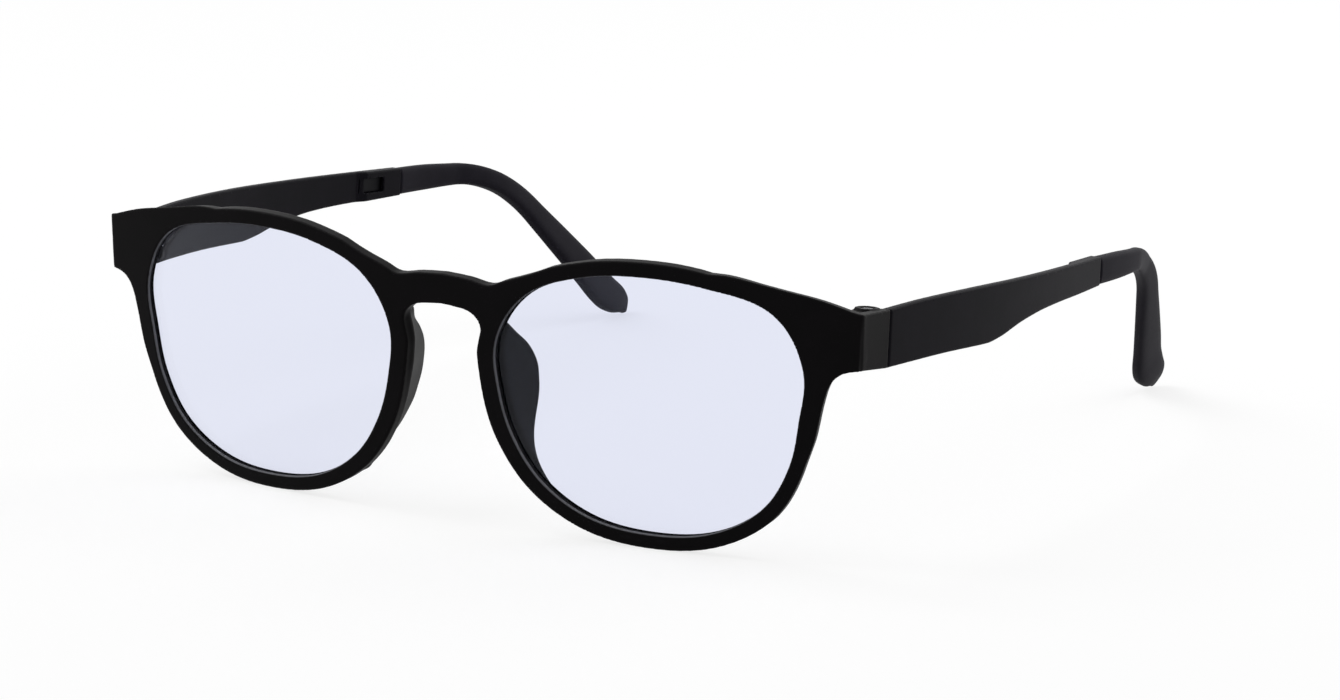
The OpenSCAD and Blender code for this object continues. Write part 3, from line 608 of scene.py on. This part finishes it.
# Place along the spine, half height in front and behind, and thickness
TIP_SIZES = [
    (0, END_H, END_H, BLOCK_T),
    (TIP_STRAIGHT / 2, END_H - 0.15, END_H - 0.1, BLOCK_T + 0.1),
    (TIP_STRAIGHT, 0.285 * PADDLE_H, 0.265 * PADDLE_H, PADDLE_T - 0.15),
    (TIP_STRAIGHT + BEND_L / 2, 0.31 * PADDLE_H, 0.235 * PADDLE_H, PADDLE_T - 0.1),
    (LEG_START, 0.36 * PADDLE_H, 0.31 * PADDLE_H, PADDLE_T - 0.15),
    (LEG_START + 0.27 * TIP_LEG, 0.41 * PADDLE_H, 0.43 * PADDLE_H, PADDLE_T - 0.25),
    (LEG_START + 0.54 * TIP_LEG, 0.455 * PADDLE_H, 0.53 * PADDLE_H, PADDLE_T - 0.2),
    (LEG_START + 0.68 * TIP_LEG, 0.49 * PADDLE_H, 0.55 * PADDLE_H, PADDLE_T - 0.1),
    (LEG_START + 0.79 * TIP_LEG, 0.43 * PADDLE_H, 0.61 * PADDLE_H, PADDLE_T),
    (LEG_START + 0.89 * TIP_LEG, 0.22 * PADDLE_H, 0.68 * PADDLE_H, 0.88 * PADDLE_T),
    (LEG_START + 0.96 * TIP_LEG, -0.04 * PADDLE_H, 0.63 * PADDLE_H, 0.58 * PADDLE_T),
    (LEG_START + 0.985 * TIP_LEG, -0.11 * PADDLE_H, 0.48 * PADDLE_H, 0.42 * PADDLE_T),
    (TIP_L, -0.19 * PADDLE_H, 0.3 * PADDLE_H, 0.24 * PADDLE_T)]


def spine(s):
    """A point of the tip's middle line, in the pin's frame."""
    turn = BEND_A * share(s, TIP_STRAIGHT, LEG_START)
    leg = max(0, s - LEG_START)
    y = TEMPLE_L + TIP_GAP + min(s, TIP_STRAIGHT) + BEND_R * sin(turn) + leg * cos(turn)
    z = TIP_Z - BEND_R * (1 - cos(turn)) - leg * sin(turn)
    return y, z


def spine_x(s):
    """How far out the middle line lies. The tip comes in by TIP_IN as far as the middle of its bend,
    three tenths of it along the straight. From there it leans in as it drops, and its end curls out."""
    middle = TIP_STRAIGHT + BEND_L / 2
    start = core_x(TEMPLE_L)
    if s < middle:
        inwards = 0.3 * share(s, 0, TIP_STRAIGHT) ** 2 + 0.7 * share(s, TIP_STRAIGHT, middle)
        return start - TIP_IN * inwards
    drop = from_pin(*spine(s))[1] - from_pin(*spine(middle))[1]
    curl = PADDLE_CURL * share(s, LEG_START + 0.6 * TIP_LEG, TIP_L) ** 2
    return start - TIP_IN + PADDLE_LEAN * drop + curl


def spine_at(s):
    """The same point with how far out it lies."""
    return np.array([spine_x(s), *spine(s)])


def tip_ring(s, front, rear, thick, count=48):
    """The tip's cross-section: a rectangle with round corners, square to the spine."""
    way = spine_at(min(s + 0.5, TIP_L)) - spine_at(max(s - 0.5, 0))
    lean = PADDLE_LEAN * share(s, TIP_STRAIGHT, LEG_START)
    across = np.array([1, lean * sin(TEMPLE_TILT), -lean * cos(TEMPLE_TILT)])
    up = np.cross(across, way)
    up /= np.linalg.norm(up)
    out = np.cross(way, up)
    out /= np.linalg.norm(out)
    middle = spine_at(s) + up * (rear - front) / 2
    angles = np.arange(count) * 2 * pi / count
    full = [np.sign(wave) * np.abs(wave) ** TIP_OVALNESS for wave in (np.cos(angles), -np.sin(angles))]
    return middle + np.outer(full[0] * thick / 2, out) + np.outer(full[1] * (rear + front) / 2, up)


def make_tips(material):
    """Both tips, from rings of points along the spine, closed at their ends."""
    rings = [tip_ring(*station) for station in curve(TIP_SIZES, 8)]
    count = len(rings[0])
    faces = bands(len(rings), count)
    faces += [list(range(count)), [len(rings) * count - 1 - i for i in range(count)]]
    points = pin_to_row(np.concatenate(rings))
    mirrored = other_side(points, faces)
    make_piece("tip_left_sleeve", points, faces, material, "temple_left_body", "tip", "tip_left")
    make_piece("tip_right_sleeve", *mirrored, material, "temple_right_body", "tip", "tip_right")


# Screws, sleeves, washers and magnets: turned parts, each a rounded section swept round its axis

def part_tree(name, sizes):
    """A node tree with a named input for each size, and its input node."""
    tree = bpy.data.node_groups.new(name, "GeometryNodeTree")
    for size in sizes:
        tree.interface.new_socket(size, in_out="INPUT", socket_type="NodeSocketFloat")
    tree.interface.new_socket("Geometry", in_out="OUTPUT", socket_type="NodeSocketGeometry")
    return tree, add_node(tree, "NodeGroupInput", {})


def reckon(tree, operation, a, b):
    """The result of one operation on an output and another output or plain number."""
    if isinstance(b, float):
        return add_node(tree, "ShaderNodeMath", {"operation": operation, 1: b}, [(0, a)]).outputs[0]
    return add_node(tree, "ShaderNodeMath", {"operation": operation}, [(0, a), (1, b)]).outputs[0]


def lifted(tree, shape, height):
    """A shape moved up its axis."""
    place = add_node(tree, "ShaderNodeCombineXYZ", {}, [("Z", height)])
    moved = add_node(tree, "GeometryNodeTransform", {}, [
        ("Geometry", shape), ("Translation", place.outputs[0])])
    return moved.outputs[0]


def turned(tree, inner, outer, low, height, edge):
    """A ring from an inner to an outer radius. A tiny inner radius closes into a solid disc."""
    section = add_node(tree, "GeometryNodeCurvePrimitiveQuadrilateral", {"mode": "RECTANGLE"}, [
        ("Width", reckon(tree, "SUBTRACT", outer, inner)), ("Height", height)])
    fillet = add_node(tree, "GeometryNodeFilletCurve", {"mode": "POLY", "Count": 4, "Limit Radius": True}, [
        ("Curve", section.outputs[0]), ("Radius", edge)])
    middle = reckon(tree, "MULTIPLY", reckon(tree, "ADD", inner, outer), 0.5)
    circle = add_node(tree, "GeometryNodeCurvePrimitiveCircle", {"Resolution": 48}, [("Radius", middle)])
    sweep = add_node(tree, "GeometryNodeCurveToMesh", {}, [
        ("Curve", circle.outputs[0]), ("Profile Curve", fillet.outputs[0])])
    closed = add_node(tree, "GeometryNodeMergeByDistance", {"Distance": 0.01}, [
        ("Geometry", sweep.outputs[0])])
    half = reckon(tree, "MULTIPLY", height, 0.5)
    return lifted(tree, closed.outputs[0], reckon(tree, "ADD", low, half))


def finish_tree(tree, shape, material):
    """Gives the tree's shape its material and makes it the tree's result."""
    whole = add_node(tree, "GeometryNodeRealizeInstances", {}, [(0, shape)])
    coated = add_node(tree, "GeometryNodeSetMaterial", {"Material": material}, [
        ("Geometry", whole.outputs[0])])
    add_node(tree, "NodeGroupOutput", {}, [("Geometry", coated.outputs[0])])
    return tree


def ring_tree(material):
    """One ring, or a disc."""
    tree, size = part_tree("turned_ring", ["Inner Radius", "Outer Radius", "Low End", "Height", "Edge"])
    return finish_tree(tree, turned(tree, *size.outputs[:5]), material)


def screw_tree(material):
    """A shank with a wider head and a slot across the head."""
    tree, size = part_tree("slotted_screw", [
        "Axis", "Shank Radius", "Low End", "Shank Length", "Edge", "Head Radius", "Head Height",
        "Slot Width", "Slot Depth"])
    axis, shank_r, low, length, edge, head_r, head_h, slot_w, slot_deep = size.outputs[:9]
    head_low = reckon(tree, "ADD", low, length)
    shank = turned(tree, axis, shank_r, low, length, edge)
    head = turned(tree, axis, head_r, head_low, head_h, edge)
    across = add_node(tree, "ShaderNodeCombineXYZ", {}, [
        ("X", reckon(tree, "ADD", head_r, head_r)), ("Y", slot_w),
        ("Z", reckon(tree, "ADD", slot_deep, slot_deep))])
    blade = add_node(tree, "GeometryNodeMeshCube", {}, [("Size", across.outputs[0])])
    blade_up = lifted(tree, blade.outputs[0], reckon(tree, "ADD", head_low, head_h))
    slotted = add_node(tree, "GeometryNodeMeshBoolean", {"operation": "DIFFERENCE"}, [
        (0, head), (1, blade_up)])
    both = add_node(tree, "GeometryNodeJoinGeometry", {}, [(0, shank), (0, slotted.outputs[0])])
    return finish_tree(tree, both.outputs[0], material)


def made_by(tree, sizes):
    """The points and faces that a tree gives for named sizes, in millimetres."""
    holder = bpy.data.objects.new("holder", bpy.data.meshes.new("holder"))
    bpy.context.scene.collection.objects.link(holder)
    modifier = holder.modifiers.new("shape", "NODES")
    modifier.node_group = tree
    for item in tree.interface.items_tree:
        if item.in_out == "INPUT":
            modifier[item.identifier] = float(sizes[item.name])
    mesh = bpy.data.meshes.new_from_object(holder.evaluated_get(bpy.context.evaluated_depsgraph_get()))
    holder.modifiers.clear()
    points = np.array([v.co for v in mesh.vertices], float)
    faces = [list(p.vertices) for p in mesh.polygons]
    bpy.data.objects.remove(holder)
    return points, faces


def magnet_place(points):
    """Places round a magnet's axis, which points back, as places in the row's frame."""
    x, y, z = np.asarray(points, float).T
    return front_to_row(np.stack([MAGNET_X + x, face_y(MAGNET_X, MAGNET_Z) + z, MAGNET_Z - y], -1))


def make_hardware():
    """The turned parts of both hinges, and both magnets."""
    steel, brass, nickel = FINISHES["hinge_bush"], FINISHES["hinge_insert"], FINISHES["magnet"]
    insert_low = BARREL_LOW + END_GAP
    washer_r, washer_t = KNUCKLE_R - WASHER_INSET, LAYER_T - 2 * FIT_GAP
    upper_low, lower_low = MID_TOP + FIT_GAP, MID_LOW - LAYER_T + FIT_GAP
    magnet_low = FRONT_T - MAGNET_T - MAGNET_SUNK
    rings = [
        ("hinge_insert", brass, "insert", BORE_R - FIT_GAP / 2, SLEEVE_R, insert_low,
         MID_LOW - LAYER_T - BARREL_LOW - END_GAP),
        ("hinge_bush", steel, "steel", BORE_R, SLEEVE_R - PRESS_GAP, MID_LOW, MID_KNUCKLE_H),
        ("hinge_washer_upper", steel, "steel", BORE_R, washer_r, upper_low, washer_t),
        ("hinge_washer_lower", steel, "steel", BORE_R, washer_r, lower_low, washer_t),
        ("magnet", nickel, "magnet", SOLID_R, MAGNET_R, magnet_low, MAGNET_T)]
    for name, finish, slot, inner, outer, low, height in rings:
        sizes = {"Inner Radius": inner, "Outer Radius": outer, "Low End": low, "Height": height,
                 "Edge": TURNED_EDGE}
        place = magnet_place if name == "magnet" else pin_to_row
        add_pair(name, *made_by(ring_tree(finish), sizes), finish, slot, place)
    screw = {"Axis": SOLID_R, "Shank Radius": BORE_R - FIT_GAP, "Low End": BARREL_LOW + END_GAP,
             "Shank Length": BARREL_H - COUNTERBORE_DEEP - END_GAP, "Edge": TURNED_EDGE,
             "Head Radius": COUNTERBORE_R - HEAD_GAP,
             "Head Height": COUNTERBORE_DEEP + BARREL_RISE - HEAD_SUNK,
             "Slot Width": SLOT_W, "Slot Depth": SLOT_DEEP}
    finish = FINISHES["hinge_screw"]
    add_pair("hinge_screw", *made_by(screw_tree(finish), screw), finish, "screw", pin_to_row)


def add_pair(name, points, faces, finish, slot, place):
    """The left part and its mirror image on the right, each for its CAD node."""
    points = place(points)
    for side in ("left", "right"):
        body = "temple_" + side + "_body" if name == "hinge_bush" else "front_body"
        node = name + "_" + side
        piece = make_piece(node + "_turned", points, faces, finish, body, slot, node)
        piece.data.set_sharp_from_angle(angle=TURNED_SHARP)
        points, faces = other_side(points, faces)


# Materials

# Size of the drift between two shades, where in it each shade is reached, and the blur of the painted
# highlight's border
DRIFT_MM, DRIFT_ENDS, HIGHLIGHT_BLUR = 6, (0.35, 0.65), 0.06
# Size of the marks on metal, and how much they change its roughness
MARKS_MM, WEAR = 0.15, 0.06


def colour(code):
    """An sRGB hex colour as linear red, green, blue and alpha."""
    parts = [int(code[i:i + 2], 16) / 255 for i in (1, 3, 5)]
    return [p / 12.92 if p < 0.04045 else ((p + 0.055) / 1.055) ** 2.4 for p in parts] + [1]


def add_node(tree, kind, settings, links=()):
    """A node with its settings, and links as pairs of its input and the output that feeds it."""
    node = tree.nodes.new(kind)
    for name, value in settings.items():
        if isinstance(name, int) or name in node.inputs:
            node.inputs[name].default_value = value
        else:
            setattr(node, name, value)
    for socket, source in links:
        tree.links.new(source, node.inputs[socket])
    return node


def new_material(name):
    """An empty material and its node tree."""
    material = bpy.data.materials.new(name)
    material.use_nodes = True
    material.node_tree.nodes.clear()
    return material, material.node_tree


def moulded(name, dark, light, roughness, grain_mm, depth_mm, shine, painted_edge_highlight=None):
    """A moulded surface: two close shades that drift over a few millimetres, and the mould's grain.
    Given a paler shade for it, the strip along the lens opening takes that shade as a painted highlight."""
    material, tree = new_material(name)
    place = add_node(tree, "ShaderNodeTexCoord", {}).outputs["Object"]
    drift = add_node(tree, "ShaderNodeTexNoise", {"Scale": 1 / (DRIFT_MM * MM), "Detail": 3.0},
                     [("Vector", place)])
    ramp = add_node(tree, "ShaderNodeValToRGB", {}, [("Fac", drift.outputs["Fac"])])
    for element, position, code in zip(ramp.color_ramp.elements, DRIFT_ENDS, (dark, light)):
        element.position = position
        element.color = colour(code)
    grain = add_node(tree, "ShaderNodeTexNoise", {"Scale": 1 / (grain_mm * MM), "Detail": 2.0},
                     [("Vector", place)])
    bump = add_node(tree, "ShaderNodeBump", {"Strength": 0.5, "Distance": depth_mm * MM},
                    [("Height", grain.outputs["Fac"])])
    shade = ramp.outputs["Color"]
    # The painted highlight: the strip along the lens opening takes the paler shade
    if painted_edge_highlight:
        edge = add_node(tree, "ShaderNodeAttribute", {"attribute_name": "painted_edge_highlight"})
        mask = add_node(tree, "ShaderNodeMapRange", {"From Min": -HIGHLIGHT_BLUR, "From Max": HIGHLIGHT_BLUR},
                        [("Value", edge.outputs["Fac"])])
        mix = add_node(tree, "ShaderNodeMix", {"data_type": "RGBA", 7: colour(painted_edge_highlight)},
                       [(0, mask.outputs["Result"]), (6, shade)])
        shade = mix.outputs[2]
    finish = {"Roughness": roughness, "Specular IOR Level": shine}
    surface = add_node(tree, "ShaderNodeBsdfPrincipled", finish,
                       [("Base Color", shade), ("Normal", bump.outputs["Normal"])])
    add_node(tree, "ShaderNodeOutputMaterial", {}, [("Surface", surface.outputs[0])])
    return material


def metal(name, shade, roughness):
    """A metal whose shine varies a little from place to place, as handling and turning leave it."""
    material, tree = new_material(name)
    place = add_node(tree, "ShaderNodeTexCoord", {}).outputs["Object"]
    marks = add_node(tree, "ShaderNodeTexNoise", {"Scale": 1 / (MARKS_MM * MM), "Detail": 2.0},
                     [("Vector", place)])
    worn = add_node(tree, "ShaderNodeMapRange", {"To Min": roughness - WEAR, "To Max": roughness + WEAR},
                    [("Value", marks.outputs["Fac"])])
    surface = add_node(tree, "ShaderNodeBsdfPrincipled", {"Base Color": colour(shade), "Metallic": 1.0},
                       [("Roughness", worn.outputs["Result"])])
    add_node(tree, "ShaderNodeOutputMaterial", {}, [("Surface", surface.outputs[0])])
    return material


def clear_lens():
    """Polished clear polycarbonate with a trace of blue and a coating that holds back its reflections."""
    material, tree = new_material("polished_coated_polycarbonate")
    surface = add_node(tree, "ShaderNodeBsdfPrincipled", {
        "Base Color": colour("#e4e7f5"), "Roughness": 0.0, "IOR": 1.5, "Specular Tint": colour("#7c7f88"),
        "Transmission Weight": 1.0})
    add_node(tree, "ShaderNodeOutputMaterial", {}, [("Surface", surface.outputs[0])])
    return material


# Light, floor and camera

FLOOR_GLOW, WORLD_LIGHT = 0.77, 0.4


def seen_directly(tree):
    """One where the camera sees a surface, straight or through glass or as a reflection, and else zero."""
    rays = add_node(tree, "ShaderNodeLightPath", {}).outputs
    straight = reckon(tree, "MAXIMUM", rays["Is Camera Ray"], rays["Is Transmission Ray"])
    return reckon(tree, "MAXIMUM", straight, rays["Is Glossy Ray"])


def make_floor(height):
    """White paper under the frame. It glows only where the camera sees it, also through the lenses
    and in reflections, so that it looks white but lights the frame no more than grey paper does."""
    material, tree = new_material("white_paper_sweep")
    glow_level = reckon(tree, "MULTIPLY", seen_directly(tree), FLOOR_GLOW)
    paper = add_node(tree, "ShaderNodeBsdfDiffuse", {"Color": colour("#959595")})
    glow = add_node(tree, "ShaderNodeEmission", {"Color": colour("#ffffff")}, [("Strength", glow_level)])
    both = add_node(tree, "ShaderNodeAddShader", {}, [(0, paper.outputs[0]), (1, glow.outputs[0])])
    add_node(tree, "ShaderNodeOutputMaterial", {}, [("Surface", both.outputs[0])])
    mesh = bpy.data.meshes.new("floor")
    reach, behind = 4, 8
    corners = [(-reach, -reach), (reach, -reach), (reach, behind), (-reach, behind)]
    mesh.from_pydata([(x, y, height) for x, y in corners], [], [(0, 1, 2, 3)])
    mesh.materials.append(material)
    floor = bpy.data.objects.new("floor", mesh)
    bpy.context.scene.collection.objects.link(floor)


def make_world():
    """White all round where the camera sees it, and dimmer as a light."""
    world = bpy.data.worlds.new("studio")
    world.use_nodes = True
    tree = world.node_tree
    tree.nodes.clear()
    dim = add_node(tree, "ShaderNodeBackground", {"Color": colour("#ffffff"), "Strength": WORLD_LIGHT})
    white = add_node(tree, "ShaderNodeBackground", {"Color": colour("#ffffff"), "Strength": 1.0})
    mix = add_node(tree, "ShaderNodeMixShader", {}, [
        (0, seen_directly(tree)), (1, dim.outputs[0]), (2, white.outputs[0])])
    add_node(tree, "ShaderNodeOutputWorld", {}, [("Surface", mix.outputs[0])])
    bpy.context.scene.world = world


# The camera that was fitted to the photograph: its focal length and the photograph's width in pixels,
# how it is turned, tipped and rolled against the upright front, and where the front is before it
FOCAL_PIXELS, PHOTO_PIXELS, SENSOR_W = 5568, 1340, 36
CAMERA_YAW, CAMERA_PITCH, CAMERA_ROLL = radians(31.09), radians(15.41), radians(-1.02)
CAMERA_AT = (-35.9, -5.2, 874.9)


def camera_axes():
    """The camera's right, up and backward directions in the front's frame."""
    flat = np.array([cos(CAMERA_YAW), sin(CAMERA_YAW), 0])
    level = cos(CAMERA_PITCH)
    back = np.array([sin(CAMERA_YAW) * level, -cos(CAMERA_YAW) * level, sin(CAMERA_PITCH)])
    over = np.cross(back, flat)
    right = cos(CAMERA_ROLL) * flat + sin(CAMERA_ROLL) * over
    return right, np.cross(back, right), back


def make_camera():
    """The camera in the row's frame. Gives its axes."""
    right, up, back = camera_axes()
    eye = -CAMERA_AT[0] * right - CAMERA_AT[1] * up + CAMERA_AT[2] * back
    origin = front_to_row([(0, 0, 0)])[0]
    columns = [front_to_row([v])[0] - origin for v in (right, up, back)]
    matrix = Matrix.Identity(4)
    for i, column in enumerate(columns):
        matrix.col[i][:3] = Vector(column).normalized()
    matrix.col[3][:3] = front_to_row([eye])[0]
    data = bpy.data.cameras.new("camera")
    data.sensor_fit = "HORIZONTAL"
    data.sensor_width = SENSOR_W
    data.lens = FOCAL_PIXELS / PHOTO_PIXELS * SENSOR_W
    camera = bpy.data.objects.new("camera", data)
    camera.matrix_world = matrix
    bpy.context.scene.collection.objects.link(camera)
    bpy.context.scene.camera = camera
    return matrix.to_3x3()


def make_lamp(name, axes, direction, distance, size, watts, target):
    """A square soft lamp, placed by the camera's right, up and backward directions."""
    data = bpy.data.lights.new(name, "AREA")
    data.shape = "SQUARE"
    data.size = size
    data.energy = watts
    lamp = bpy.data.objects.new(name, data)
    away = (axes @ Vector(direction)).normalized()
    aim = away.to_track_quat("Z", "Y").to_matrix().to_4x4()
    lamp.matrix_world = Matrix.Translation(target + away * distance) @ aim
    bpy.context.scene.collection.objects.link(lamp)


bpy.context.scene.view_settings.view_transform = "Standard"
axes = make_camera()
make_world()
# Both lamps point at a place between the arms
between_arms = Vector((0, 0.05, 0))
make_lamp("lamp_over_right", axes, (0.8, 0.65, -0.3), distance=0.7, size=0.5, watts=1.2, target=between_arms)
make_lamp("lamp_over_left", axes, (-0.6, 0.85, 0.0), distance=1.2, size=0.8, watts=5, target=between_arms)

# Black polyamide from a finely etched mould. Its grain scatters the light, so it looks even and matte,
# with broad weak highlights. The paler strip along the lens opening is a painted highlight of its edge.
FRONT_PLASTIC = moulded("moulded_matte_polyamide_front", "#0b0a0b", "#0f0d0f", roughness=0.45,
                        grain_mm=0.3, depth_mm=0.02, shine=0.042, painted_edge_highlight="#78787c")
# The same plastic in the arms, which look a shade lighter and bluer than the front.
ARM_PLASTIC = moulded("moulded_matte_polyamide_arm", "#121116", "#17151b", roughness=0.45,
                      grain_mm=0.3, depth_mm=0.02, shine=0.045)
# A soft elastomer with a rubbery skin. It looks greyer than the arms, with broader highlights.
SOFT_TIP = moulded("soft_touch_elastomer", "#201e25", "#26242b", roughness=0.55,
                   grain_mm=0.25, depth_mm=0.015, shine=0.055)
# Polished polycarbonate with a coating. It looks clear, with weak and sharp reflections.
CLEAR = clear_lens()
# The lens's own rim, ground rough where it sits in the groove. Ground polycarbonate is pale and frosted;
# the dark colour is painted shade of the groove it sits in.
SHADED_LENS_EDGE = moulded("ground_lens_edge_painted_shade", "#101012", "#161619", roughness=0.8,
                      grain_mm=0.1, depth_mm=0.01, shine=0.05)

make_front(FRONT_PLASTIC)
make_lens("left", CLEAR, SHADED_LENS_EDGE)
make_lens("right", CLEAR, SHADED_LENS_EDGE)
make_temples(ARM_PLASTIC)
make_tips(SOFT_TIP)

FINISHES = {
    # Nickel plating over the magnet: smooth, so it looks bright with fairly sharp reflections
    "magnet": metal("nickel_plated_magnet", "#bdbdbf", roughness=0.25),
    # Plated steel: greyer and rougher, so the screw's head has a soft shine
    "hinge_screw": metal("plated_steel_screw", "#a8a9ac", roughness=0.32),
    # Turned brass: a yellow metal with a soft shine
    "hinge_insert": metal("turned_brass", "#c7a35a", roughness=0.3),
    # Turned stainless steel for bush and washers: light grey with a clear shine
    "hinge_bush": metal("turned_stainless_steel", "#b9babc", roughness=0.28),
    # Spring steel, coloured near black: dark and dull, with a weak shine
    "tip_core": metal("near_black_spring_steel", "#161618", roughness=0.5),
}
for side in ("left", "right"):
    core = nodes["tip_core_" + side]
    core.data.materials.clear()
    core.data.materials.append(FINISHES["tip_core"])
make_hardware()

make_floor(cad_box[0][2])
